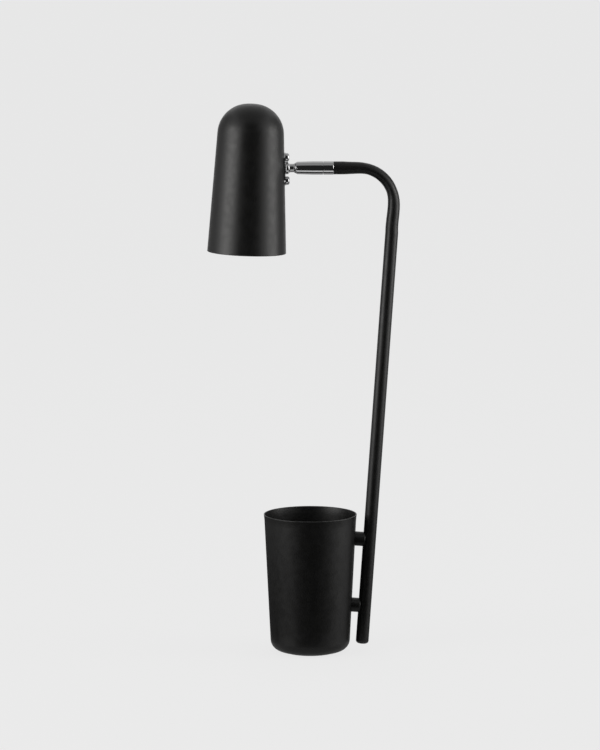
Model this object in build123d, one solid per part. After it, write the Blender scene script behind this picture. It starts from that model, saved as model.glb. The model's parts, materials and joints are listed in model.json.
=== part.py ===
from build123d import *
from math import asin, atan, cos, degrees, hypot, radians, sin, sqrt
import os

# Desk lamp with a pen cup for a base. A bent tube stands beside the cup on two standoffs
# and carries a bullet-shaped shade on a ball swivel.
# Millimetres, +Z up. The origin is the centre of the foot's underside, on the cup's axis.
# The lamp lies in the XZ plane: the stem is on the +X side, the shade reaches to -X.

# --- clearances ---------------------------------------------------------------------------
seat_gap = 0.05          # between faces that rest on each other
press_gap = 0.03         # radial, a plug or insert in its hole
running_gap = 0.06       # radial, parts that turn in each other
screw_gap = 0.2          # radial, a screw in its clearance hole

# --- cup and foot -------------------------------------------------------------------------
foot_pad_thickness = 1.0
foot_pad_inset = 1.2             # from where the cup's bottom starts to round
cup_height = 129.2
cup_bottom_radius = 36.7         # where the wall's line meets the bottom
cup_taper = 0.0498               # radius gained per millimetre of height
cup_wall = 1.0
cup_floor = 1.2
cup_corner_radius = 10.5
cup_lip_height = 7.0             # the top stretch that flares
cup_lip_flare = 0.35
dish_radius = 8.0                # pressed-up centre of the floor, which hides the screw head
dish_depth = 3.4

ballast_side_gap = 1.2           # to the inside of the wall, at the cup's foot
ballast_thickness = 14.0
ballast_edge_extra = 0.3         # its lower edge is rounder than the cup's inside corner
mat_thickness = 2.0
mat_side_gap = 0.6
m5_radius = 2.5
m5_head_radius = 4.6
m5_head_height = 2.2
m5_washer_radius = 4.8
m5_washer_thickness = 0.9
m5_reach = 9.0                   # screw hole in the ballast, above the dish

# --- stem ---------------------------------------------------------------------------------
tube_diameter = 12.0
tube_wall = 1.0
stem_foot_x = 48.1               # where the stem's axis meets the desk plane
stem_lean = 0.0688               # sideways run per millimetre of height
stem_end_height = 6.8            # lowest point of the end plug
plug_head = 3.2
plug_edge_radius = 2.8
plug_spigot = 6.5
arm_height = 454.0
arm_end_x = 21.5                 # where the tube meets the swivel
bend_radius = 32.0
bend_flat_in = 10.05             # the flattened section: in the plane of the bend
bend_flat_out = 12.9             # and across it
arm_round_length = 8.5           # round stretch, which takes the swivel body
stem_flatten_length = 30.0       # straight stretch below the bend that is still part flattened
bend_end_turn = 16.0             # degrees of the bend used to reach the full flattening
arm_middle_flatness = 0.32       # share of the full flattening half way along the arm,
bend_start_flatness = 0.62       # where the bend starts,
bend_foot_flatness = 0.55        # where it ends,
stem_middle_flatness = 0.2       # and half way down the stretch below it

# --- standoffs ----------------------------------------------------------------------------
standoff_diameter = 13.4
standoff_heights = {"upper": 106.6, "lower": 43.8}
standoff_edge_radius = 1.1
standoff_wrap = 1.9              # how far it reaches past the stem's near side
insert_radius = 2.9
insert_length = 3.4
m4_radius = 2.0
m4_head_radius = 4.0
m4_head_height = 2.7
m4_washer_radius = 4.5
m4_washer_thickness = 0.8

# --- cable bush ---------------------------------------------------------------------------
bush_height = 22.0
bush_bore_radius = 2.6
bush_body_radius = 3.8
bush_flange_radius = 5.0
bush_flange = 3.4
bush_inside = 0.4                # how far the bush reaches inside the tube's wall

# --- lead ---------------------------------------------------------------------------------
lead_radius = 1.7
lead_offset = 1.2                # towards the outside of the bend, clear of the screw tips
lead_exit_radius = 3.2
lead_end_x = -4.5

# --- swivel -------------------------------------------------------------------------------
swivel_radius = 6.3
swivel_split_x = 11.8
swivel_split_gap = 0.15
swivel_spigot = 8.0
swivel_edge = 0.3
journal_radius = 4.4
journal_length = 7.6
journal_bore_radius = 3.05
ring_groove_depth = 0.5
ring_thickness = 0.7
ring_groove_inset = 0.5          # from the journal's end
ring_groove_play = 0.1
ring_to_shoulder = 0.2
sleeve_taper_x = 1.5
sleeve_front_radius = 5.85
lip_radius = 5.4
pivot_x = -12.0
ball_radius = 5.2
ball_gap = 0.07
lip_reach = 1.5                  # how far the crimped lip reaches past the ball's centre
lip_length = 1.0
socket_bore_radius = 5.45
ring_bore_radius = 4.95
ring_bore_length = 4.6
ball_seat_thickness = 0.4
ball_seat_start = 3.0            # from the ball's centre, along the arm
ball_seat_end = 4.6
pressure_seat_front = 2.6
pressure_seat_back = 7.2
pressure_seat_bore = 3.2
disc_spring_count = 4
disc_spring_thickness = 0.35

# --- ball stud ----------------------------------------------------------------------------
neck_radius = 4.0
neck_end = 6.4                   # from the ball's centre to the start of the collar's flare
collar_radius = 5.75
collar_start = 8.3
stud_bore_radius = 2.25
stud_thread_radius = 3.95
stud_length = 20.6               # from the ball's centre
ball_back_cut = 4.4

# --- shade --------------------------------------------------------------------------------
shade_rim_radius = 36.55
shade_length = 137.4
shade_slope = 0.0529             # radius lost per millimetre of height
shade_knuckle_radius = 28.2
shade_crown_radius = 137.0
shade_wall = 1.0
rest_tilt = 2.05                 # degrees, the shade's top leans towards the stem
neck_height = 79.2               # the neck's foot on the wall, above the rim
pivot_to_wall = 11.8

# --- plate and bracket --------------------------------------------------------------------
plate_length = 30.4
plate_width = 15.0
plate_thickness = 1.4
plate_drop = 0.8                 # plate's centre below the neck's axis
plate_screw_pitch = 21.5
plate_head_height = 3.0
bracket_thickness = 1.5
bracket_width = 14.0
bracket_sag = 0.85               # the flat strip's middle stands off the round wall
bracket_leg_down = 17.0
bracket_arm_height = 21.0        # above the neck's foot on the wall
bracket_arm_end = 11.5
m4_nut_flats = 7.0
m4_nut_height = 3.0
m4_tip = 0.8
stud_nut_flats = 12.0
stud_nut_height = 3.2
stud_washer_radius = 6.2
stud_washer_thickness = 0.7

# --- lampholder and lamp ------------------------------------------------------------------
holder_radius = 13.5
holder_height = 17.5
holder_screw_pitch = 14.0
m3_radius = 1.5
m3_head_radius = 2.8
m3_head_height = 2.0
m3_length = 6.0
pin_pitch = 10.0
pin_radius = 1.5
pin_head_radius = 2.5
pin_neck = 2.2
pin_head = 2.4
lamp_radius = 25.0
lamp_neck_radius = 10.5
lamp_neck = 12.0
lamp_cone = 32.0
lamp_shoulder_out = 7.5          # the cone's swell beside the neck
lamp_shoulder_share = 0.42       # and how far down the cone it lies
lamp_rim = 5.5
lamp_wall = 1.5
lamp_top_gap = 0.1
lens_thickness = 2.4

# --- worked out from the above ------------------------------------------------------------
tube_radius = tube_diameter / 2
lean_angle = degrees(atan(stem_lean))
slope_angle = degrees(atan(shade_slope))
cup_base_z = foot_pad_thickness
cup_top_z = cup_base_z + cup_height
floor_top_z = cup_base_z + cup_floor
foot_pad_radius = cup_bottom_radius - cup_corner_radius - foot_pad_inset
ballast_radius = cup_bottom_radius - cup_wall - ballast_side_gap
ballast_edge_radius = cup_corner_radius - cup_wall + ballast_edge_extra
ballast_top_z = floor_top_z + seat_gap + ballast_thickness
mat_top_z = ballast_top_z + seat_gap + mat_thickness
bend_z = arm_height - bend_radius
bend_x = stem_foot_x + stem_lean * bend_z - bend_radius * hypot(1, stem_lean)
bend_turn = 90.0 - lean_angle
stem_up = Vector(sin(radians(lean_angle)), 0, cos(radians(lean_angle)))
stem_out = Vector(cos(radians(lean_angle)), 0, -sin(radians(lean_angle)))
wall_face = -pivot_to_wall
inner_face = wall_face - shade_wall

pieces = {}


def cup_radius(z):
    """Outer radius of the cup's straight wall at height z."""
    return cup_bottom_radius + cup_taper * (z - cup_base_z)


def revolved(points, axis=Axis.Z):
    """Solid of revolution from a closed outline in the XZ plane."""
    outline = Polyline(*[(x, 0, z) for x, z in points], close=True)
    return revolve(make_face(outline), axis)


def along_x(points):
    """Solid of revolution about X; each point is (x, radius)."""
    outline = Polyline(*[(x, 0, r) for x, r in points], close=True)
    return revolve(make_face(outline), Axis.X)


def revolved_edges(edges):
    """Solid of revolution about X from a closed outline of lines and arcs."""
    return revolve(make_face(edges), Axis.X)


def on_ball(radius, x):
    """Point on a sphere about the origin, at x along the arm."""
    return (x, 0, sqrt(radius ** 2 - x ** 2))


def ball_arc(radius, x_from, x_to):
    """Arc of a sphere's outline between two places along the arm."""
    middle = (x_from + x_to) / 2
    return ThreePointArc(on_ball(radius, x_from), on_ball(radius, middle), on_ball(radius, x_to))


def chain(points):
    """Straight edges through a list of (x, radius) points."""
    return Polyline(*[(x, 0, r) for x, r in points]).edges()


def rod(start, direction, radius, length):
    """Cylinder from a point, along a direction."""
    plane = Plane(origin=start, z_dir=direction)
    return extrude(plane * Circle(radius), length)


def hexagon(start, direction, flats, length, spin=0.0):
    """Hexagonal prism from a point, along a direction."""
    plane = Plane(origin=start, z_dir=direction)
    outline = RegularPolygon(flats / 2, 6, major_radius=False, rotation=spin)
    return extrude(plane * outline, length)


# --- cup, ballast and foot ----------------------------------------------------------------
def cup_form(inset, bottom_z, corner):
    """The cup's outer form (inset 0), or its hollow (inset = wall)."""
    lip_z = cup_top_z - cup_lip_height
    wall_foot = (cup_radius(bottom_z) - inset, 0, bottom_z)
    wall_top = (cup_radius(lip_z) - inset, 0, lip_z)
    lip_top = (cup_radius(cup_top_z) + cup_lip_flare - inset, 0, cup_top_z)
    floor_line = Line((0, 0, bottom_z), wall_foot)
    wall_line = Line(wall_foot, wall_top)
    lip_arc = TangentArc(wall_top, lip_top, tangent=(cup_taper, 0, 1))
    top_line = Line(lip_top, (0, 0, cup_top_z))
    axis_line = Line((0, 0, cup_top_z), (0, 0, bottom_z))
    form = revolve(make_face([floor_line, wall_line, lip_arc, top_line, axis_line]), Axis.Z)
    bottom_edge = form.edges().filter_by(GeomType.CIRCLE).sort_by(Axis.Z)[0]
    return fillet(bottom_edge, corner)


def standoff_screw_point(height):
    """The stem's axis point that a standoff aims at, level with its crossing of the gap."""
    on_axis = Vector(stem_foot_x + stem_lean * height, 0, height)
    gap_middle = (cup_radius(height) + on_axis.X - tube_radius) / 2
    return on_axis + Vector(0, 0, -stem_lean * (on_axis.X - gap_middle))


def pen_cup():
    outer = cup_form(0.0, cup_base_z, cup_corner_radius)
    hollow = cup_form(cup_wall, floor_top_z, cup_corner_radius - cup_wall)
    boss = Pos(0, 0, floor_top_z) * Cylinder(
        dish_radius + cup_floor, dish_depth, align=(Align.CENTER, Align.CENTER, Align.MIN)
    )
    dish = rod((0, 0, cup_base_z), (0, 0, 1), dish_radius, dish_depth)
    cup = outer - (hollow - boss) - dish
    rim = cup.edges().filter_by(GeomType.CIRCLE).group_by(Axis.Z)[-1]
    cup = fillet(rim, cup_wall * 0.45)
    cup -= rod((0, 0, cup_base_z), (0, 0, 1), m5_radius + screw_gap, 3 * dish_depth)
    for height in standoff_heights.values():
        point = standoff_screw_point(height)
        cup -= rod(point - stem_out * 30, stem_out, m4_radius + screw_gap, 24)
    return cup


def ballast():
    disc = Pos(0, 0, floor_top_z + seat_gap) * Cylinder(
        ballast_radius, ballast_thickness, align=(Align.CENTER, Align.CENTER, Align.MIN)
    )
    lower_edge = disc.edges().filter_by(GeomType.CIRCLE).sort_by(Axis.Z)[0]
    disc = fillet(lower_edge, ballast_edge_radius)
    upper_edge = disc.edges().filter_by(GeomType.CIRCLE).sort_by(Axis.Z)[-1]
    disc = chamfer(upper_edge, 0.8)
    recess_top = floor_top_z + dish_depth + seat_gap
    disc -= rod((0, 0, 0), (0, 0, 1), dish_radius + cup_floor + 4 * screw_gap, recess_top)
    disc -= rod((0, 0, 0), (0, 0, 1), m5_radius + press_gap, recess_top + m5_reach)
    return disc


def ballast_mat():
    radius = cup_radius(ballast_top_z) - cup_wall - mat_side_gap
    return rod((0, 0, ballast_top_z + seat_gap), (0, 0, 1), radius, mat_thickness)


def ballast_screw():
    under_head = cup_base_z + dish_depth - m5_washer_thickness - 2 * seat_gap
    head = rod((0, 0, under_head), (0, 0, -1), m5_head_radius, m5_head_height)
    head = fillet(head.edges().filter_by(GeomType.CIRCLE).sort_by(Axis.Z)[0], 0.9)
    tip_z = floor_top_z + dish_depth + m5_reach - 1.0
    shank = rod((0, 0, under_head), (0, 0, 1), m5_radius, tip_z - under_head)
    drive = hexagon((0, 0, under_head - m5_head_height), (0, 0, 1), 3.0, 1.3)
    return head + shank - drive


def ballast_washer():
    base = (0, 0, cup_base_z + dish_depth - m5_washer_thickness - seat_gap)
    washer = rod(base, (0, 0, 1), m5_washer_radius, m5_washer_thickness)
    return washer - rod((0, 0, 0), (0, 0, 1), m5_radius + screw_gap, 10)


def foot_pad():
    pad = rod((0, 0, 0), (0, 0, 1), foot_pad_radius, foot_pad_thickness)
    return chamfer(pad.edges().filter_by(GeomType.CIRCLE).sort_by(Axis.Z)[0], 0.25)


# --- stem ---------------------------------------------------------------------------------
def bend_plane(turn):
    """Section plane at an angle into the bend, counted from the arm's end of it."""
    angle = radians(turn)
    outward = Vector(sin(angle), 0, cos(angle))
    origin = Vector(bend_x, 0, bend_z) + outward * bend_radius
    onward = Vector(cos(angle), 0, -sin(angle))
    return Plane(origin=origin, x_dir=outward, z_dir=onward)


def arm_plane(x):
    """Section plane on the straight arm."""
    return Plane(origin=(x, 0, arm_height), x_dir=(0, 0, 1), z_dir=(1, 0, 0))


def stem_plane(z):
    """Section plane on the straight stem, where its axis is at height z."""
    origin = (stem_foot_x + stem_lean * z, 0, z)
    return Plane(origin=origin, x_dir=stem_out, z_dir=stem_up * -1)


def oval(plane, flatness, grow):
    """The tube's section: round at flatness 0, the bend's full oval at 1."""
    half_in = tube_radius + (bend_flat_in / 2 - tube_radius) * flatness + grow
    half_out = tube_radius + (bend_flat_out / 2 - tube_radius) * flatness + grow
    if flatness == 0.0:
        half_out = half_in
    return plane * Ellipse(half_in, half_out)


def stem_form(grow, low_z):
    """The tube's outside (grow 0), or its bore (grow = minus the wall)."""
    arm_start = arm_end_x + arm_round_length
    arm_middle = (arm_start + bend_x) / 2
    stem_top = bend_plane(bend_turn).origin
    round_z = stem_top.Z - stem_flatten_length
    half_z = stem_top.Z - stem_flatten_length / 2
    arm_part = extrude(arm_plane(arm_end_x) * Circle(tube_radius + grow), arm_round_length)
    arm_loft = loft([
        oval(arm_plane(arm_start), 0.0, grow),
        oval(arm_plane(arm_middle), arm_middle_flatness, grow),
        oval(bend_plane(0.0), bend_start_flatness, grow),
        oval(bend_plane(bend_end_turn), 1.0, grow),
    ])
    middle_turn = bend_turn - 2 * bend_end_turn
    bend_axis = Axis((bend_x, 0, bend_z), (0, 1, 0))
    middle = revolve(oval(bend_plane(bend_end_turn), 1.0, grow), bend_axis, middle_turn)
    stem_loft = loft([
        oval(bend_plane(bend_turn - bend_end_turn), 1.0, grow),
        oval(bend_plane(bend_turn), bend_foot_flatness, grow),
        oval(stem_plane(half_z), stem_middle_flatness, grow),
        oval(stem_plane(round_z), 0.0, grow),
    ])
    straight_length = (round_z - low_z) / stem_up.Z
    straight = extrude(stem_plane(round_z) * Circle(tube_radius + grow), straight_length)
    return arm_part + arm_loft + middle + stem_loft + straight


def stem_axis_point(z):
    return Vector(stem_foot_x + stem_lean * z, 0, z)


def plug_top_z():
    """Height on the stem's axis where the tube stands on the end plug's head."""
    return stem_end_height + tube_radius * sin(radians(lean_angle)) + plug_head * stem_up.Z


def stem_tube():
    tube = stem_form(0.0, plug_top_z() + seat_gap)
    tube -= stem_form(-tube_wall, plug_top_z() - 1.0)
    for height in standoff_heights.values():
        point = standoff_screw_point(height)
        tube -= rod(point - stem_out * (tube_radius + 2), stem_out, insert_radius + press_gap, 5)
    tube -= rod(bush_point(), (0, 1, 0), bush_body_radius + press_gap, 2 * tube_radius)
    grub = grub_point()
    tube -= rod(grub, (0, 1, 0), m3_radius + screw_gap, 2 * tube_radius)
    return tube


def stem_end_plug():
    base = stem_axis_point(plug_top_z())
    head = rod(base, stem_up * -1, tube_radius, plug_head)
    low_edge = head.edges().filter_by(GeomType.CIRCLE).sort_by(Axis.Z)[0]
    head = fillet(low_edge, plug_edge_radius)
    spigot = rod(base - stem_up * 0.5, stem_up, tube_radius - tube_wall - press_gap, plug_spigot)
    spigot -= rod(base + stem_up * 1.5, stem_up, tube_radius - tube_wall - 2.0, plug_spigot)
    return head + spigot


def bush_point():
    return stem_axis_point(bush_height)


def cable_bush():
    inner_y = tube_radius - tube_wall - bush_inside
    start = bush_point() + Vector(0, inner_y, 0)
    body = rod(start, (0, 1, 0), bush_body_radius, tube_radius + bush_flange - inner_y)
    flange_start = bush_point() + Vector(0, tube_radius - 1.2, 0)
    flange = rod(flange_start, (0, 1, 0), bush_flange_radius, bush_flange + 1.2)
    outer_edge = flange.edges().filter_by(GeomType.CIRCLE).sort_by(Axis.Y)[-1]
    flange = fillet(outer_edge, 1.2)
    tube_outside = rod(stem_axis_point(0), stem_up, tube_radius + seat_gap, 80)
    bush = body + (flange - tube_outside)
    return bush - rod(bush_point(), (0, 1, 0), bush_bore_radius, 30)


def stem_lead():
    """From the cable bush up the stem, round the bend and through the swivel body."""
    shift = stem_out * lead_offset
    turn_point = bush_point() + shift
    inner_y = tube_radius - tube_wall - bush_inside - seat_gap
    corner = Vector(bend_x, 0, bend_z)
    top_radius = bend_radius + lead_offset
    bend_end = corner + stem_out * top_radius
    bend_start = corner + Vector(0, 0, top_radius)
    entry = Line(turn_point + Vector(0, inner_y, 0), turn_point + Vector(0, lead_exit_radius, 0))
    up_start = turn_point + stem_up * lead_exit_radius
    elbow = TangentArc(entry @ 1, up_start, tangent=(0, -1, 0))
    rise = Line(up_start, bend_end)
    over = TangentArc(bend_end, bend_start, tangent=stem_up)
    run = Line(bend_start, (lead_end_x, 0, arm_height + lead_offset))
    path = Wire([entry, elbow, rise, over, run])
    start_plane = Plane(origin=entry @ 0, z_dir=(0, -1, 0))
    return sweep(start_plane * Circle(lead_radius), path=path)


# --- standoffs and their screws -----------------------------------------------------------
def standoff(height):
    point = standoff_screw_point(height)
    near = tube_radius - standoff_wrap
    far = point.X - cup_radius(height) + 1.6
    body = rod(point - stem_out * far, stem_out, standoff_diameter / 2, far - near)
    body = fillet(body.edges().filter_by(GeomType.CIRCLE), standoff_edge_radius)
    cup_outside = revolved([
        (0, 0),
        (cup_radius(0) + seat_gap, 0),
        (cup_radius(cup_top_z) + seat_gap, cup_top_z),
        (0, cup_top_z),
    ])
    body -= cup_outside
    body -= rod(stem_axis_point(0), stem_up, tube_radius + seat_gap, 2 * height + 60)
    return body - rod(point - stem_out * 30, stem_out, m4_radius + screw_gap, 30)


def washer_face(height):
    """Distance from the stem's axis to the standoff washer's face, inside the cup."""
    inner = cup_radius(height) - cup_wall
    sag = inner - sqrt(inner ** 2 - m4_washer_radius ** 2)
    lift = m4_washer_radius * sin(radians(lean_angle - degrees(atan(cup_taper))))
    return (standoff_screw_point(height).X - inner) / stem_up.Z + sag + lift + 2 * seat_gap


def standoff_washer(height):
    start = standoff_screw_point(height) - stem_out * washer_face(height)
    washer = rod(start, stem_out * -1, m4_washer_radius, m4_washer_thickness)
    return washer - rod(start - stem_out * 2, stem_out, m4_radius + screw_gap, 4)


def pan_head(start, direction, radius, height):
    """A domed screw head with a cross slot; it stands on start and rises along direction."""
    head = rod(start, direction, radius, height)
    top = head.edges().filter_by(GeomType.CIRCLE)
    top_edge = max(top, key=lambda edge: (edge.center() - Vector(start)).dot(Vector(direction)))
    head = fillet(top_edge, height * 0.6)
    plane = Plane(origin=Vector(start) + Vector(direction) * height, z_dir=direction)
    for spin in (0, 90):
        slot = plane * Rot(0, 0, spin) * Box(radius * 1.0, 0.9, height * 0.9)
        head -= slot
    return head


def standoff_screw(height):
    point = standoff_screw_point(height)
    under_head = washer_face(height) + m4_washer_thickness + seat_gap
    start = point - stem_out * under_head
    head = pan_head(start, stem_out * -1, m4_head_radius, m4_head_height)
    tip = tube_radius - tube_wall - insert_length - 0.2
    return head + rod(start, stem_out, m4_radius, under_head - tip)


def stem_insert(height):
    point = standoff_screw_point(height)
    outer = sqrt(tube_radius ** 2 - insert_radius ** 2) - 0.05
    inner = tube_radius - tube_wall - insert_length + 0.4
    sleeve = rod(point - stem_out * outer, stem_out, insert_radius, outer - inner)
    return sleeve - rod(point - stem_out * 8, stem_out, m4_radius + press_gap, 12)


# --- swivel -------------------------------------------------------------------------------
def grub_point():
    return Vector(arm_end_x + swivel_spigot / 2, 0, arm_height)


def swivel_frame():
    return Pos(0, 0, arm_height)


def swivel_body():
    split = swivel_split_x + swivel_split_gap / 2
    journal_end = split - journal_length
    groove_start = journal_end + ring_groove_inset
    groove_end = groove_start + ring_thickness + ring_groove_play
    groove_radius = journal_radius - ring_groove_depth
    tube_bore = tube_radius - tube_wall - press_gap
    body = along_x([
        (journal_end, journal_bore_radius),
        (journal_end, journal_radius),
        (groove_start, journal_radius),
        (groove_start, groove_radius),
        (groove_end, groove_radius),
        (groove_end, journal_radius),
        (split, journal_radius),
        (split, swivel_radius - swivel_edge),
        (split + swivel_edge, swivel_radius),
        (arm_end_x - seat_gap - swivel_edge, swivel_radius),
        (arm_end_x - seat_gap, swivel_radius - swivel_edge),
        (arm_end_x - seat_gap, tube_bore),
        (arm_end_x + swivel_spigot, tube_bore),
        (arm_end_x + swivel_spigot, journal_bore_radius),
    ])
    body = swivel_frame() * body
    return body - rod(grub_point(), (0, 1, 0), m3_radius + press_gap, 10)


def swivel_grub_screw():
    start = grub_point() + Vector(0, journal_bore_radius + 0.25, 0)
    screw = rod(start, (0, 1, 0), m3_radius, tube_radius - journal_bore_radius - 0.6)
    socket_y = tube_radius - 0.35 - 1.0
    return screw - hexagon(grub_point() + Vector(0, socket_y, 0), (0, 1, 0), 1.5, 2.0)


def retaining_ring():
    split = swivel_split_x + swivel_split_gap / 2
    start = split - journal_length + ring_groove_inset + seat_gap
    inner = journal_radius - ring_groove_depth + seat_gap
    outer = ring_bore_radius - 2 * seat_gap
    ring = along_x([
        (start, inner),
        (start, outer),
        (start + ring_thickness, outer),
        (start + ring_thickness, inner),
    ])
    ring -= Pos(start, 0, -outer) * Box(4, 2.4, 2 * (outer - inner) + 2.2)
    return swivel_frame() * ring


def swivel_sleeve():
    """Built about the ball's centre, then moved to it."""
    rear = swivel_split_x - swivel_split_gap / 2 - pivot_x
    ring_face = ring_face_x() - pivot_x
    step = socket_step_x() - pivot_x
    socket = ball_radius + ball_gap
    outline = [
        (-lip_reach, on_ball(socket, -lip_reach)[2]),
        (-lip_reach, lip_radius - 0.2),
        (0.2 - lip_reach, lip_radius - 0.05),
        (lip_length - lip_reach - 0.15, lip_radius),
        (lip_length - lip_reach, sleeve_front_radius),
        (sleeve_taper_x - pivot_x, swivel_radius),
        (rear - swivel_edge, swivel_radius),
        (rear, swivel_radius - swivel_edge),
        (rear, journal_radius + running_gap),
        (ring_face, journal_radius + running_gap),
        (ring_face, ring_bore_radius),
        (step, ring_bore_radius),
        (step, socket_bore_radius),
        (0, socket_bore_radius),
        (0, socket),
    ]
    sleeve = revolved_edges(chain(outline) + [ball_arc(socket, 0, -lip_reach)])
    return Pos(pivot_x, 0, arm_height) * sleeve


def ring_face_x():
    """The sleeve's shoulder that the retaining ring holds."""
    ring_start = swivel_split_x + swivel_split_gap / 2 - journal_length + ring_groove_inset + seat_gap
    return ring_start + ring_thickness + ring_to_shoulder


def socket_step_x():
    """The step inside the sleeve that the springs press against."""
    return ring_face_x() - ring_bore_length


def disc_spring(index):
    """One of a stack of coned washers between the pressure seat and the sleeve's step."""
    low = pivot_x + pressure_seat_back + seat_gap
    pitch = (socket_step_x() - seat_gap - low) / disc_spring_count
    start = low + index * pitch + seat_gap / 2
    rise = pitch - disc_spring_thickness - seat_gap
    inner = pressure_seat_bore + 0.1
    outer = socket_bore_radius - 2 * seat_gap
    first, second = (rise, 0.0) if index % 2 else (0.0, rise)
    return swivel_frame() * along_x([
        (start + first, inner),
        (start + second, outer),
        (start + second + disc_spring_thickness, outer),
        (start + first + disc_spring_thickness, inner),
    ])


def pressure_seat():
    """Ring behind the ball seat, hollowed to it; the springs push on its back."""
    outer = socket_bore_radius - running_gap
    cup = ball_radius + ball_gap + ball_seat_thickness + running_gap
    hollow_end = sqrt(cup ** 2 - pressure_seat_bore ** 2)
    outline = [
        on_ball(cup, pressure_seat_front)[::2],
        (pressure_seat_front, outer),
        (pressure_seat_back, outer),
        (pressure_seat_back, pressure_seat_bore),
        (hollow_end, pressure_seat_bore),
    ]
    seat = revolved_edges(chain(outline) + [ball_arc(cup, hollow_end, pressure_seat_front)])
    return Pos(pivot_x, 0, arm_height) * seat


def ball_seat():
    """Thin spherical ring that the ball bears on."""
    inner = ball_radius + ball_gap
    outer = inner + ball_seat_thickness
    seat = revolved_edges([
        ball_arc(inner, ball_seat_start, ball_seat_end),
        Line(on_ball(inner, ball_seat_end), on_ball(outer, ball_seat_end)),
        ball_arc(outer, ball_seat_end, ball_seat_start),
        Line(on_ball(outer, ball_seat_start), on_ball(inner, ball_seat_start)),
    ])
    return Pos(pivot_x, 0, arm_height) * seat


# --- head: everything below is built about the ball, with the neck along -X ---------------
def head_place():
    """From the neck's frame to the lamp's: the shade hangs at its rest tilt."""
    return Location((pivot_x, 0, arm_height), (0, rest_tilt - slope_angle, 0))


def shade_place():
    """From the shade's frame (rim centre, axis up) to the neck's frame."""
    slope = radians(slope_angle)
    foot_radius = shade_rim_radius - shade_slope * neck_height
    ball_x = foot_radius + pivot_to_wall * cos(slope)
    ball_z = neck_height + pivot_to_wall * sin(slope)
    return Rot(0, slope_angle, 0) * Pos(-ball_x, 0, -ball_z)


def ball_stud():
    """Ball, waisted neck, collar and threaded shank, with a bore for the wires."""
    back = ball_back_cut
    junction = -sqrt(ball_radius ** 2 - neck_radius ** 2)
    plate_face = wall_face + plate_thickness + seat_gap
    flare_start = (-neck_end, 0, neck_radius)
    flare_end = (-collar_start, 0, collar_radius - 0.2)
    shank = [
        (-collar_start, collar_radius - 0.2),
        (-collar_start - 0.2, collar_radius),
        (plate_face + 0.25, collar_radius),
        (plate_face, collar_radius - 0.25),
        (plate_face, stud_thread_radius),
        (-stud_length + 0.4, stud_thread_radius),
        (-stud_length, stud_thread_radius - 0.4),
        (-stud_length, stud_bore_radius),
        (back - 1.2, stud_bore_radius),
        (back, stud_bore_radius + 0.3),
        (back, on_ball(ball_radius, back)[2]),
    ]
    stud = revolved_edges([
        ball_arc(ball_radius, back, junction),
        Line(on_ball(ball_radius, junction), flare_start),
        TangentArc(flare_start, flare_end, tangent=(-1, 0, 0)),
        *chain(shank),
    ])
    return head_place() * stud


def shade_form(inset):
    """The shade's outer form, or its hollow (inset = wall), in the shade's frame."""
    slant = hypot(1, shade_slope)
    knuckle = shade_knuckle_radius - inset
    crown = shade_crown_radius - inset
    crown_z = shade_length - shade_crown_radius
    # Centre of the knuckle: on the wall's inward offset, and tangent inside the crown.
    reach = shade_crown_radius - shade_knuckle_radius
    base = shade_rim_radius - shade_knuckle_radius * slant
    a = 1 + shade_slope ** 2
    b = -2 * (shade_slope * base + crown_z)
    c = base ** 2 + crown_z ** 2 - reach ** 2
    knuckle_z = (-b + sqrt(b ** 2 - 4 * a * c)) / (2 * a)
    knuckle_r = base - shade_slope * knuckle_z
    wall_top = (knuckle_r + knuckle / slant, 0, knuckle_z + knuckle * shade_slope / slant)
    wall_foot = (shade_rim_radius - inset * slant, 0, 0)
    unit_r = knuckle_r / reach
    unit_z = (knuckle_z - crown_z) / reach
    crown_start = (crown * unit_r, 0, crown_z + crown * unit_z)
    middle = radians(45)
    knuckle_mid = (knuckle_r + knuckle * cos(middle), 0, knuckle_z + knuckle * sin(middle))
    apex = (0, 0, crown_z + crown)
    half = asin(unit_r) / 2
    crown_mid = (crown * sin(half), 0, crown_z + crown * cos(half))
    edges = [
        Line((0, 0, 0), wall_foot),
        Line(wall_foot, wall_top),
        ThreePointArc(wall_top, knuckle_mid, crown_start),
        ThreePointArc(crown_start, crown_mid, apex),
        Line(apex, (0, 0, 0)),
    ]
    return revolve(make_face(edges), Axis.Z)


def screw_heights():
    """The plate screws' places along the plate, in the neck's frame."""
    return [-plate_drop + side * plate_screw_pitch / 2 for side in (1, -1)]


def shade():
    cover = shade_form(0.0) - shade_form(shade_wall)
    rim = cover.edges().filter_by(GeomType.CIRCLE).group_by(Axis.Z)[0]
    cover = shade_place() * fillet(rim, shade_wall * 0.4)
    cover -= rod((wall_face + 3, 0, 0), (-1, 0, 0), stud_thread_radius + screw_gap, 8)
    for z in screw_heights():
        cover -= rod((wall_face + 3, 0, z), (-1, 0, 0), m4_radius + screw_gap, 8)
    return head_place() * cover


def cone_shell(start, thickness):
    """A shell that follows the shade's outer wall, start to start + thickness outside it."""
    slant = hypot(1, shade_slope)
    inner = shade_rim_radius + start * slant
    outer = inner + thickness * slant
    top = shade_knuckle_radius + neck_height
    lost = shade_slope * top
    return shade_place() * revolved([
        (inner, 0),
        (outer, 0),
        (outer - lost, top),
        (inner - lost, top),
    ])


def shade_plate():
    plane = Plane(origin=(wall_face - 4, 0, -plate_drop), x_dir=(0, 0, 1), z_dir=(1, 0, 0))
    blank = extrude(plane * SlotOverall(plate_length, plate_width), 9)
    plate = blank & cone_shell(seat_gap, plate_thickness - seat_gap)
    plate -= rod((0, 0, 0), (-1, 0, 0), stud_thread_radius + screw_gap, 20)
    for z in screw_heights():
        plate -= rod((0, 0, z), (-1, 0, 0), m4_radius + screw_gap, 20)
    return head_place() * plate


def bracket_face():
    """The bracket strip's inner face, in the neck's frame."""
    return inner_face - bracket_sag - bracket_thickness


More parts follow.
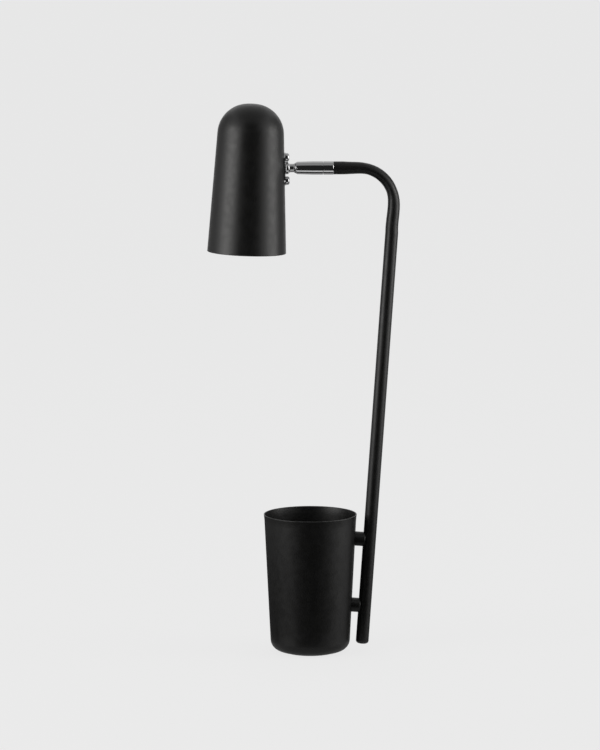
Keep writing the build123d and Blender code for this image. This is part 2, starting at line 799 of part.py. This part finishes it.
def plate_screw(z):
    under_head = wall_face + plate_thickness + seat_gap
    head = pan_head((under_head, 0, z), (1, 0, 0), m4_head_radius, plate_head_height)
    tip = bracket_face() - seat_gap - m4_nut_height - m4_tip
    return head_place() * (head + rod((under_head, 0, z), (-1, 0, 0), m4_radius, under_head - tip))


def plate_nut(z):
    start = (bracket_face() - seat_gap, 0, z)
    nut = hexagon(start, (-1, 0, 0), m4_nut_flats, m4_nut_height, 30)
    return head_place() * (nut - rod((0, 0, z), (-1, 0, 0), m4_radius + press_gap, 30))


def stud_washer():
    start = (bracket_face() - seat_gap, 0, 0)
    washer = rod(start, (-1, 0, 0), stud_washer_radius, stud_washer_thickness)
    return head_place() * (washer - rod((0, 0, 0), (-1, 0, 0), stud_thread_radius + 0.1, 30))


def stud_nut():
    start = (bracket_face() - stud_washer_thickness - 2 * seat_gap, 0, 0)
    nut = hexagon(start, (-1, 0, 0), stud_nut_flats, stud_nut_height, 30)
    return head_place() * (nut - rod((0, 0, 0), (-1, 0, 0), stud_thread_radius + press_gap, 30))


def arm_top_z():
    """Height of the bracket arm's underside above the rim, in the shade's frame."""
    return neck_height + bracket_arm_height


def lamp_bracket():
    outer = inner_face - bracket_sag
    leg_height = bracket_leg_down + bracket_arm_height + 2.0
    leg = Pos(outer, 0, -bracket_leg_down) * Box(
        bracket_thickness, bracket_width, leg_height, align=(Align.MAX, Align.CENTER, Align.MIN)
    )
    corner = shade_rim_radius - shade_slope * arm_top_z() - shade_wall - bracket_sag
    arm_length = corner - 0.4 + bracket_arm_end
    arm = Pos(-bracket_arm_end, 0, arm_top_z()) * Box(
        arm_length, bracket_width, bracket_thickness, align=(Align.MIN, Align.CENTER, Align.MIN)
    )
    arm = shade_place() * arm
    top_cut = Pos(0, 0, arm_top_z() + bracket_thickness) * Box(
        90, 40, 20, align=(Align.CENTER, Align.CENTER, Align.MIN)
    )
    bracket = leg + arm - shade_place() * top_cut
    bracket -= rod((0, 0, 0), (-1, 0, 0), stud_thread_radius + screw_gap, 24)
    for z in screw_heights():
        bracket -= rod((0, 0, z), (-1, 0, 0), m4_radius + screw_gap, 24)
    for side in (-1, 1):
        hole = rod((side * holder_screw_pitch / 2, 0, 0), (0, 0, 1), m3_radius + screw_gap, 200)
        bracket -= shade_place() * hole
    return head_place() * bracket


def in_shade(piece):
    return head_place() * shade_place() * piece


def holder_bottom_z():
    return arm_top_z() - seat_gap - holder_height


def lampholder():
    body = Pos(0, 0, holder_bottom_z()) * Cylinder(
        holder_radius, holder_height, align=(Align.CENTER, Align.CENTER, Align.MIN)
    )
    body = fillet(body.edges().filter_by(GeomType.CIRCLE), 1.2)
    for side in (-1, 1):
        pin_hole_depth = pin_neck + pin_head + 0.6
        pin_base = (0, side * pin_pitch / 2, holder_bottom_z())
        body -= rod(pin_base, (0, 0, 1), pin_head_radius + screw_gap, pin_hole_depth)
        screw_base = (side * holder_screw_pitch / 2, 0, arm_top_z() - m3_length)
        body -= rod(screw_base, (0, 0, 1), m3_radius + press_gap, m3_length + 5)
    return in_shade(body)


def holder_screw(side):
    start = (side * holder_screw_pitch / 2, 0, arm_top_z() + bracket_thickness + seat_gap)
    head = pan_head(start, (0, 0, 1), m3_head_radius, m3_head_height)
    return in_shade(head + rod(start, (0, 0, -1), m3_radius, m3_length))


def lamp_top_z():
    return holder_bottom_z() - lamp_top_gap


def lamp_body():
    top = lamp_top_z()
    neck_z = top - lamp_neck
    rim_z = neck_z - lamp_cone
    bottom = rim_z - lamp_rim
    shoulder = lamp_neck_radius + lamp_shoulder_out
    shoulder_z = neck_z - lamp_cone * lamp_shoulder_share
    shell = revolved([
        (0, top),
        (lamp_neck_radius - 1, top),
        (lamp_neck_radius, top - 1),
        (lamp_neck_radius, neck_z),
        (shoulder, shoulder_z),
        (lamp_radius - 0.5, rim_z),
        (lamp_radius, rim_z - 0.8),
        (lamp_radius, bottom),
        (lamp_radius - lamp_wall, bottom),
        (lamp_radius - lamp_wall, bottom + lens_thickness + seat_gap),
        (lamp_radius - 2 * lamp_wall, bottom + lens_thickness + seat_gap),
        (lamp_radius - 2 * lamp_wall, rim_z),
        (shoulder - 1.2 * lamp_wall, shoulder_z),
        (lamp_neck_radius - lamp_wall, neck_z - 1),
        (lamp_neck_radius - lamp_wall, top - 2 * lamp_wall),
        (0, top - 2 * lamp_wall),
    ])
    return in_shade(shell)


def lamp_bottom_z():
    return lamp_top_z() - lamp_neck - lamp_cone - lamp_rim


def lamp_lens():
    lens = rod((0, 0, lamp_bottom_z()), (0, 0, 1), lamp_radius - lamp_wall - seat_gap, lens_thickness)
    return in_shade(lens)


def lamp_pin(side):
    base = (0, side * pin_pitch / 2, lamp_top_z())
    neck = rod(base, (0, 0, 1), pin_radius, pin_neck + pin_head)
    head_base = (0, side * pin_pitch / 2, lamp_top_z() + pin_neck)
    return in_shade(neck + rod(head_base, (0, 0, 1), pin_head_radius, pin_head))


def head_lead():
    """From inside the ball, through the stud, then up to the lampholder's side."""
    shade_axis_x = -(pivot_to_wall + shade_rim_radius - shade_slope * neck_height)
    turn_x = -stud_length - 3.0
    level = bracket_arm_height - holder_height / 2
    holder_side = shade_axis_x + holder_radius + seat_gap + level * shade_slope
    path = FilletPolyline(
        (1.0, 0, 0),
        (turn_x, 0, 0),
        (turn_x - 0.4, 0, level),
        (holder_side, 0, level),
        radius=[4.5, 3.6],
    )
    start_plane = Plane(origin=path @ 0, z_dir=(-1, 0, 0))
    return head_place() * sweep(start_plane * Circle(lead_radius), path=path)


# --- write one file per node --------------------------------------------------------------
pieces["pen_cup"] = [pen_cup()]
pieces["ballast"] = [ballast()]
pieces["ballast_mat"] = [ballast_mat()]
pieces["ballast_screw"] = [ballast_screw()]
pieces["ballast_washer"] = [ballast_washer()]
pieces["foot_pad"] = [foot_pad()]
pieces["stem_tube"] = [stem_tube()]
pieces["stem_end_plug"] = [stem_end_plug()]
pieces["cable_bush"] = [cable_bush()]
pieces["stem_lead"] = [stem_lead()]
for name, height in standoff_heights.items():
    pieces[name + "_standoff"] = [standoff(height)]
pieces["standoff_washers"] = [standoff_washer(h) for h in standoff_heights.values()]
pieces["standoff_screws"] = [standoff_screw(h) for h in standoff_heights.values()]
pieces["stem_inserts"] = [stem_insert(h) for h in standoff_heights.values()]
pieces["swivel_body"] = [swivel_body()]
pieces["swivel_grub_screw"] = [swivel_grub_screw()]
pieces["retaining_ring"] = [retaining_ring()]
pieces["swivel_sleeve"] = [swivel_sleeve()]
pieces["disc_springs"] = [disc_spring(i) for i in range(disc_spring_count)]
pieces["pressure_seat"] = [pressure_seat()]
pieces["ball_seat"] = [ball_seat()]
pieces["ball_stud"] = [ball_stud()]
pieces["shade"] = [shade()]
pieces["shade_plate"] = [shade_plate()]
pieces["plate_screws"] = [plate_screw(z) for z in screw_heights()]
pieces["plate_nuts"] = [plate_nut(z) for z in screw_heights()]
pieces["stud_washer"] = [stud_washer()]
pieces["stud_nut"] = [stud_nut()]
pieces["lamp_bracket"] = [lamp_bracket()]
pieces["lampholder"] = [lampholder()]
pieces["holder_screws"] = [holder_screw(side) for side in (-1, 1)]
pieces["lamp_body"] = [lamp_body()]
pieces["lamp_lens"] = [lamp_lens()]
pieces["lamp_pins"] = [lamp_pin(side) for side in (-1, 1)]
pieces["head_lead"] = [head_lead()]

os.makedirs("parts", exist_ok=True)
for node, solids in pieces.items():
    shapes = [solid for piece in solids for solid in piece.solids()]
    shape = shapes[0] if len(shapes) == 1 else Compound(children=shapes)
    export_step(shape, "parts/" + node + ".step")
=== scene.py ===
import bpy
import json
from math import cos, pi, radians, sin
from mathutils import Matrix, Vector


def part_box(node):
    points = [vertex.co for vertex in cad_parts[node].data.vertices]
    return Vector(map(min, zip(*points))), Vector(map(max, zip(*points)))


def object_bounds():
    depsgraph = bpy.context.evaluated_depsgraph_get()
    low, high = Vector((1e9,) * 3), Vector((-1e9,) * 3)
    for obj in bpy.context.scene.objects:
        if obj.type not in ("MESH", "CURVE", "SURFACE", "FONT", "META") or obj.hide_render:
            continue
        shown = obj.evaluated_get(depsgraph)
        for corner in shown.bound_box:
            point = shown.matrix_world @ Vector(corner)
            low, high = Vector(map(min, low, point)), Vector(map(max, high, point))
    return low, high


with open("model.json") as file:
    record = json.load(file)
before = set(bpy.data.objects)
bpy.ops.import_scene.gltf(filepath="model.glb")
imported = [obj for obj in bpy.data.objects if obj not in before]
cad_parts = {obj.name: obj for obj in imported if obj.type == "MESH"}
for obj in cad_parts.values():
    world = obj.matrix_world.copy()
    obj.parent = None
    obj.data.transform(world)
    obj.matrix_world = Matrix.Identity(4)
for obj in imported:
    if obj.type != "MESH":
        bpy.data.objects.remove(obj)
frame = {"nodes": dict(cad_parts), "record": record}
cad_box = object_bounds()

# A black desk lamp with a pen cup for a base. Everything is in metres, in the frame of the
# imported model: the origin is under the cup, on the desk, and the lamp lies in the XZ plane.
# Every piece of the lamp is a CAD node, which only gets its material here. Round the lamp are
# a floor, three lights, and cards that show in its reflections and nowhere else.

low, high = cad_box
LAMP_HEIGHT = high[2] - low[2]

# --- camera -------------------------------------------------------------------------------
CAMERA_PITCH = radians(7.85)     # the camera looks down on the lamp
CAMERA_DISTANCE = 3.533          # from the point that it aims at
AIM_X = -0.0096
AIM_ABOVE_MIDDLE = 0.0045        # above half the lamp's height
FOCAL_LENGTH = 182.45            # millimetres
SENSOR_SIZE = 36.0               # millimetres
NEAR_CLIP = 0.05
FAR_CLIP = 60.0


def make_camera():
    """A long lens, straight in front of the lamp and a little above it."""
    data = bpy.data.cameras.new("camera")
    data.lens = FOCAL_LENGTH
    data.sensor_width = SENSOR_SIZE
    data.sensor_height = SENSOR_SIZE
    data.sensor_fit = "AUTO"
    data.clip_start = NEAR_CLIP
    data.clip_end = FAR_CLIP
    camera = bpy.data.objects.new("camera", data)
    bpy.context.scene.collection.objects.link(camera)
    aim = Vector((AIM_X, 0.0, low[2] + LAMP_HEIGHT / 2 + AIM_ABOVE_MIDDLE))
    back = Vector((0.0, -cos(CAMERA_PITCH), sin(CAMERA_PITCH)))
    camera.location = aim + back * CAMERA_DISTANCE
    camera.rotation_euler = (radians(90) - CAMERA_PITCH, 0.0, 0.0)
    bpy.context.scene.camera = camera


# --- node helpers -------------------------------------------------------------------------
# The sockets of a Mix node set to colours, which share their names with its other sockets.
MIX_FACTOR, MIX_FIRST, MIX_SECOND, MIX_RESULT = 0, 6, 7, 2


class Tree:
    """The node tree of a material or of the world, with short calls to add nodes."""

    def __init__(self, owner, output_kind="ShaderNodeOutputMaterial"):
        owner.use_nodes = True
        self.owner = owner
        self.tree = owner.node_tree
        self.tree.nodes.clear()
        self.output = self.add(output_kind)

    def put(self, socket, value):
        """Link another node's output to a socket, or set the socket to a constant."""
        if isinstance(value, bpy.types.NodeSocket):
            self.tree.links.new(value, socket)
        else:
            socket.default_value = value

    def add(self, kind, inputs=None, **settings):
        node = self.tree.nodes.new(kind)
        for key, value in settings.items():
            setattr(node, key, value)
        for key, value in (inputs or {}).items():
            self.put(node.inputs[key], value)
        return node

    def math(self, operation, first, second):
        node = self.add("ShaderNodeMath", operation=operation)
        self.put(node.inputs[0], first)
        self.put(node.inputs[1], second)
        return node.outputs[0]

    def ramp(self, value, start, end, low_out=0.0, high_out=1.0):
        """A smooth step from low_out to high_out while the value goes from start to end."""
        node = self.add("ShaderNodeMapRange", interpolation_type="SMOOTHSTEP")
        for key, item in zip(("Value", "From Min", "From Max", "To Min", "To Max"),
                             (value, start, end, low_out, high_out)):
            self.put(node.inputs[key], item)
        return node.outputs[0]

    def coordinates(self, kind="Object"):
        """Object coordinates stay with a piece when a joint moves it."""
        return self.add("ShaderNodeTexCoord").outputs[kind]

    def noise(self, scale, detail, roughness=0.5):
        node = self.add("ShaderNodeTexNoise", {"Scale": scale, "Detail": detail,
                                               "Roughness": roughness})
        self.put(node.inputs["Vector"], self.coordinates())
        return node.outputs["Fac"]

    def mix_color(self, factor, first, second):
        node = self.add("ShaderNodeMix", data_type="RGBA")
        self.put(node.inputs[MIX_FACTOR], factor)
        self.put(node.inputs[MIX_FIRST], first)
        self.put(node.inputs[MIX_SECOND], second)
        return node.outputs[MIX_RESULT]

    def bump(self, height, strength, distance):
        node = self.add("ShaderNodeBump", {"Strength": strength, "Distance": distance,
                                           "Height": height})
        return node.outputs["Normal"]

    def glow(self, brightness):
        """Light of its own, which no lamp or shadow changes."""
        return self.add("ShaderNodeEmission", {"Color": grey(brightness), "Strength": 1.0})

    def finish(self, shader):
        """Use the shader as the surface, and give back the material or the world."""
        self.tree.links.new(shader.outputs[0], self.output.inputs["Surface"])
        return self.owner

    def surface(self, color, roughness, normal, metallic=0.0, subsurface=0.0):
        return self.finish(self.add("ShaderNodeBsdfPrincipled", {
            "Base Color": color, "Roughness": roughness, "Metallic": metallic,
            "Subsurface Weight": subsurface, "Normal": normal}))


def material_tree(name):
    return Tree(bpy.data.materials.new(name))


def grey(value):
    return (value, value, value, 1.0)


def darker(color, share):
    """The colour, darker by a share of itself."""
    return tuple(channel * (1 - share) for channel in color[:3]) + (1.0,)


# --- materials ----------------------------------------------------------------------------
COAT_DARK = (0.0026, 0.00255, 0.0024, 1.0)
COAT_PALE = (0.0042, 0.0041, 0.0039, 1.0)
DUST = grey(0.03)
DUST_COVER = 0.35                # how much of the coat's colour a speck hides
FINE_PEEL = 0.4                  # height of the fine orange peel, as a share of the coarse
SHADE_INSIDE = (0.62, 0.61, 0.59, 1.0)
SHADE_MIDDLE = 0.45              # height of the point that the inside faces, over the rim
CHROME = (0.70, 0.70, 0.705, 1.0)
PLATE_CHROME = (0.66, 0.66, 0.665, 1.0)
ZINC = (0.55, 0.56, 0.58, 1.0)
DARK_STEEL = (0.25, 0.25, 0.27, 1.0)
BRASS = (0.66, 0.47, 0.2, 1.0)
METAL_CLOUD = 0.1                # how much darker metal is where it is cloudy
NYLON = (0.72, 0.71, 0.66, 1.0)
CERAMIC = (0.8, 0.79, 0.75, 1.0)
LAMP_WHITE = (0.8, 0.8, 0.79, 1.0)
SHEATH_WHITE = (0.7, 0.7, 0.68, 1.0)
LENS_CREAM = (0.82, 0.82, 0.80, 1.0)
ROUGHNESS_SPREAD = 0.05          # either way, on moulded pieces


def faces_center(t, center):
    """1 where a surface faces the center, as the inside of a shell round it does, else 0."""
    away = t.add("ShaderNodeVectorMath", operation="SUBTRACT")
    t.put(away.inputs[0], t.coordinates())
    away.inputs[1].default_value = center
    facing = t.add("ShaderNodeVectorMath", operation="DOT_PRODUCT")
    t.put(facing.inputs[0], t.coordinates("Normal"))
    t.put(facing.inputs[1], away.outputs[0])
    return t.math("LESS_THAN", facing.outputs["Value"], 0.0)


def powder_coat(name, inner_color=None, center=None):
    """Satin black powder coat: fine orange peel, slight cloudiness, rare pale dust specks."""
    t = material_tree(name)
    color = t.mix_color(t.noise(scale=38.0, detail=4.0), COAT_DARK, COAT_PALE)
    speck = t.ramp(t.noise(scale=2600.0, detail=1.0), start=0.74, end=0.80)
    color = t.mix_color(t.math("MULTIPLY", speck, DUST_COVER), color, DUST)
    roughness = t.ramp(t.noise(scale=160.0, detail=3.0), start=0.3, end=0.7,
                       low_out=0.37, high_out=0.44)
    coarse = t.noise(scale=900.0, detail=2.0)
    fine = t.math("MULTIPLY", t.noise(scale=2800.0, detail=2.0), FINE_PEEL)
    normal = t.bump(t.math("ADD", coarse, fine), strength=0.16, distance=0.00012)
    if inner_color is not None:
        color = t.mix_color(faces_center(t, center), color, inner_color)
    return t.surface(color, roughness, normal)


def plated(name, color, smoothest, roughest, scratch=0.05):
    """Polished, plated or turned metal with faint cloudiness and hairline marks."""
    t = material_tree(name)
    tint = t.mix_color(t.noise(scale=220.0, detail=3.0), color, darker(color, METAL_CLOUD))
    roughness = t.ramp(t.noise(scale=700.0, detail=4.0), start=0.3, end=0.75,
                       low_out=smoothest, high_out=roughest)
    marks = t.noise(scale=1400.0, detail=3.0, roughness=0.6)
    normal = t.bump(marks, scratch, distance=0.00004)
    return t.surface(tint, roughness, normal, metallic=1.0)


def moulded(name, color, roughness, grain=1500.0, strength=0.2, spread=0.15):
    """Moulded plastic, foam or ceramic with a fine grain; its colour varies by the spread."""
    t = material_tree(name)
    tint = t.mix_color(t.noise(scale=90.0, detail=3.0), color, darker(color, spread))
    rough = t.ramp(t.noise(scale=400.0, detail=2.0), start=0.3, end=0.7,
                   low_out=roughness - ROUGHNESS_SPREAD, high_out=roughness + ROUGHNESS_SPREAD)
    normal = t.bump(t.noise(scale=grain, detail=3.0), strength, distance=0.0001)
    return t.surface(tint, rough, normal)


def cast_metal(name):
    """Blacked cast iron with a coarse skin."""
    t = material_tree(name)
    color = t.mix_color(t.noise(scale=300.0, detail=4.0), grey(0.05), grey(0.11))
    skin = t.noise(scale=1100.0, detail=5.0, roughness=0.7)
    normal = t.bump(skin, strength=0.5, distance=0.0003)
    return t.surface(color, roughness=0.62, normal=normal, metallic=0.6)


def ribbed_mat(name):
    """Foam mat with fine concentric ribs."""
    t = material_tree(name)
    wave = t.add("ShaderNodeTexWave", {"Scale": 60.0, "Distortion": 0.3}, wave_type="RINGS",
                 rings_direction="Z")
    t.put(wave.inputs["Vector"], t.coordinates())
    color = t.mix_color(t.noise(scale=500.0, detail=3.0), grey(0.018), grey(0.03))
    normal = t.bump(wave.outputs["Fac"], strength=0.4, distance=0.0004)
    return t.surface(color, roughness=0.85, normal=normal)


def frosted(name):
    """Pressed lens with small round pebbles."""
    t = material_tree(name)
    color = t.mix_color(t.noise(scale=120.0, detail=2.0), grey(0.86), LENS_CREAM)
    pebbles = t.add("ShaderNodeTexVoronoi", {"Scale": 420.0}, feature="SMOOTH_F1")
    t.put(pebbles.inputs["Vector"], t.coordinates())
    height = t.math("SUBTRACT", 1.0, pebbles.outputs["Distance"])
    normal = t.bump(height, strength=0.6, distance=0.0006)
    return t.surface(color, roughness=0.38, normal=normal, subsurface=0.3)


def make_materials():
    """One material for each slot of the record."""
    shade_low, shade_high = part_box("shade")
    center = ((shade_low[0] + shade_high[0]) / 2, 0.0,
              shade_low[2] + (shade_high[2] - shade_low[2]) * SHADE_MIDDLE)
    return {
        "black_paint": powder_coat("black_powder_coat"),
        "shade_paint": powder_coat("shade_powder_coat", SHADE_INSIDE, center),
        "chrome": plated("polished_chrome", CHROME, smoothest=0.05, roughest=0.10),
        "chrome_plate": plated("plate_chrome", PLATE_CHROME, smoothest=0.08, roughest=0.15),
        "zinc_steel": plated("zinc_plate", ZINC, smoothest=0.28, roughest=0.4, scratch=0.15),
        "spring_steel": plated("spring_steel", DARK_STEEL, smoothest=0.35, roughest=0.5,
                               scratch=0.2),
        "brass": plated("turned_brass", BRASS, smoothest=0.22, roughest=0.35, scratch=0.15),
        "cast_iron": cast_metal("blacked_iron"),
        "foot_foam": moulded("foot_foam", grey(0.028), roughness=0.9, grain=900.0,
                             strength=0.5),
        "mat_foam": ribbed_mat("ribbed_foam"),
        "black_plastic": moulded("black_plastic", grey(0.014), roughness=0.42, grain=1800.0,
                                 strength=0.15),
        "seat_nylon": moulded("seat_nylon", NYLON, roughness=0.45),
        "holder_body": moulded("glazed_ceramic", CERAMIC, roughness=0.22, grain=400.0,
                               strength=0.08, spread=0.05),
        "lamp_shell": moulded("lamp_shell", LAMP_WHITE, roughness=0.3, grain=900.0,
                              strength=0.05, spread=0.04),
        "lamp_front": frosted("lamp_lens"),
        "lead_sheath": moulded("lead_sheath", SHEATH_WHITE, roughness=0.5, grain=1200.0,
                               spread=0.06),
    }


def dress_nodes(materials):
    """Give every CAD node the material of its slot."""
    slots = {part["node"]: part["material_slot"] for part in frame["record"]["subparts"]}
    for name, node in frame["nodes"].items():
        node.data.materials.clear()
        node.data.materials.append(materials[slots[name]])


# --- floor and surroundings ---------------------------------------------------------------
BACKGROUND = 0.814               # linear value of the pale grey behind the lamp
AMBIENT = 0.42                   # the room's own soft light
FLOOR_SHADOW = 0.10              # share of the floor that takes light and shadow
FLOOR_GLOW = 0.852               # makes up for what that share loses
FLOOR_HALF = 40.0                # reaches far beyond what the camera sees
FLOOR_GAP = 0.0002               # under the foot pad
PAPER_DARK = grey(0.80)
PAPER_PALE = grey(0.82)


def background_rays(t):
    """1 for each ray that shows the background: seen, mirrored or through glass."""
    path = t.add("ShaderNodeLightPath")
    rays = path.outputs["Is Camera Ray"]
    for name in ("Is Transmission Ray", "Is Glossy Ray"):
        rays = t.math("MAXIMUM", rays, path.outputs[name])
    return rays


def flat_sheet(name, start, end, material):
    """A rectangle between two opposite corners, which have one coordinate in common."""
    across, along = (axis for axis in range(3) if start[axis] != end[axis])
    corners = [list(start) for _ in range(4)]
    for corner in corners[1:3]:
        corner[across] = end[across]
    for corner in corners[2:]:
        corner[along] = end[along]
    mesh = bpy.data.meshes.new(name)
    mesh.from_pydata(corners, [], [(0, 1, 2, 3)])
    mesh.materials.append(material)
    sheet = bpy.data.objects.new(name, mesh)
    bpy.context.scene.collection.objects.link(sheet)
    return sheet


def make_floor():
    """A floor as pale as the background, with a faint shadow under the lamp."""
    t = material_tree("floor")
    glow = t.glow(FLOOR_GLOW)
    paper = t.mix_color(t.noise(scale=30.0, detail=2.0), PAPER_DARK, PAPER_PALE)
    matt = t.add("ShaderNodeBsdfDiffuse", {"Color": paper})
    share = t.math("MULTIPLY", background_rays(t), 1.0 - FLOOR_SHADOW)
    mix = t.add("ShaderNodeMixShader")
    for socket, value in zip(mix.inputs, (share, matt.outputs[0], glow.outputs[0])):
        t.put(socket, value)
    height = low[2] - FLOOR_GAP
    flat_sheet("floor", (-FLOOR_HALF, -FLOOR_HALF, height), (FLOOR_HALF, FLOOR_HALF, height),
               t.finish(mix))


def make_world():
    """The room: pale where it shows, and dimmer as a source of soft light."""
    world = bpy.data.worlds.new("studio")
    bpy.context.scene.world = world
    t = Tree(world, "ShaderNodeOutputWorld")
    level = t.ramp(background_rays(t), start=0.0, end=1.0, low_out=AMBIENT,
                   high_out=BACKGROUND)
    t.finish(t.add("ShaderNodeBackground", {"Color": grey(1.0), "Strength": level}))


# --- cards --------------------------------------------------------------------------------
# How bright the cards look in a reflection.
FRONT_BLACK = 0.02
LEFT_TABLE_GREY = 0.05
RIGHT_TABLE_GREY = 0.20
ROOM_GREY = 0.30
CEILING_PALE = 0.50              # behind the lamp
REFLECTOR_WHITE = 0.70

TABLE_LIFT = 0.001               # the cards on the table lie this far above its surface
CARD_REACH = 0.95                # how far the cards go to the front and to the back
CARD_HALF_WIDTH = 0.75
CARD_AISLE = 0.06                # half the width of the middle strip on the table
CARD_TOP = 1.5                   # height of the front card and of the ceiling
CEILING_SPLIT = 0.2              # Y where the front and the rear ceiling meet
CEILING_BACK = 1.2
SIDE_CARD_X = 0.5
SIDE_CARD_START = 0.08
SIDE_CARD_TOP = 0.95
REFLECTOR_FRONT = -0.22
REFLECTOR_BACK = -0.09
REFLECTOR_DROP = 0.2             # under the swivel
REFLECTOR_PAST_BALL = 0.045      # beyond the sleeve's ends
REFLECTOR_PAST_BODY = 0.03


def card(name, start, end, brightness):
    """A card that shows only in reflections; it neither blocks nor gives any other light."""
    t = material_tree(name)
    material = t.finish(t.glow(brightness))
    material.cycles.emission_sampling = "NONE"
    sheet = flat_sheet(name, start, end, material)
    sheet.visible_camera = False
    sheet.visible_diffuse = False
    sheet.visible_transmission = False
    sheet.visible_volume_scatter = False
    sheet.visible_shadow = False


def make_cards():
    """What the lamp mirrors: black in front, grey elsewhere, and white under the swivel."""
    table = low[2] + TABLE_LIFT
    wide, front, back, aisle = CARD_HALF_WIDTH, -CARD_REACH, CARD_REACH, CARD_AISLE
    card("front_card", (-wide, front, table), (wide, front, CARD_TOP), FRONT_BLACK)
    card("front_table_card", (-wide, front, table), (wide, -aisle, table), FRONT_BLACK)
    card("left_table_card", (-wide, -aisle, table), (-aisle, back, table), LEFT_TABLE_GREY)
    card("right_table_card", (aisle, -aisle, table), (wide, back, table), RIGHT_TABLE_GREY)
    card("middle_table_card", (-aisle, -aisle, table), (aisle, back, table), ROOM_GREY)
    card("front_ceiling_card", (-wide, front, CARD_TOP), (wide, CEILING_SPLIT, CARD_TOP),
         ROOM_GREY)
    card("rear_ceiling_card", (-wide, CEILING_SPLIT, CARD_TOP),
         (wide, CEILING_BACK, CARD_TOP), CEILING_PALE)
    sleeve_low, sleeve_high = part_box("swivel_sleeve")
    under = sleeve_low[2] - REFLECTOR_DROP
    card("reflector_card", (sleeve_low[0] - REFLECTOR_PAST_BALL, REFLECTOR_FRONT, under),
         (sleeve_high[0] + REFLECTOR_PAST_BODY, REFLECTOR_BACK, under), REFLECTOR_WHITE)
    for name, x in (("left_card", -SIDE_CARD_X), ("right_card", SIDE_CARD_X)):
        card(name, (x, SIDE_CARD_START, table), (x, back, SIDE_CARD_TOP), ROOM_GREY)


# --- lights -------------------------------------------------------------------------------
LIGHT_COLOR = (1.0, 0.99, 0.97)
LIGHT_AIM = 0.55                 # share of the lamp's height that the lights point at


def softbox(name, azimuth, elevation, distance, width, height, radiance):
    """A rectangular light round the lamp: azimuth 0 is the front, positive towards +X."""
    data = bpy.data.lights.new(name, "AREA")
    data.shape = "RECTANGLE"
    data.size = width
    data.size_y = height
    data.energy = radiance * pi * width * height
    data.color = LIGHT_COLOR
    light = bpy.data.objects.new(name, data)
    bpy.context.scene.collection.objects.link(light)
    side = radians(azimuth)
    rise = radians(elevation)
    toward = Vector((sin(side) * cos(rise), -cos(side) * cos(rise), sin(rise)))
    light.location = Vector((0.0, 0.0, LAMP_HEIGHT * LIGHT_AIM)) + toward * distance
    light.rotation_euler = (-toward).to_track_quat("-Z", "Y").to_euler()
    light.visible_camera = False
    return light


def make_lights():
    """A softbox at each side draws the two long highlights; a third lights the back."""
    softbox("left_softbox", azimuth=-63.0, elevation=12.0, distance=1.7, width=1.1,
            height=1.1, radiance=3.1)
    softbox("right_softbox", azimuth=82.0, elevation=6.0, distance=1.7, width=1.1,
            height=1.4, radiance=2.7)
    fill = softbox("top_fill", azimuth=180.0, elevation=62.0, distance=2.4, width=1.8,
                   height=1.8, radiance=0.6)
    fill.visible_glossy = False


# --- make everything ----------------------------------------------------------------------
make_camera()
dress_nodes(make_materials())
make_floor()
make_world()
make_cards()
make_lights()
bpy.context.scene.view_settings.view_transform = "Standard"
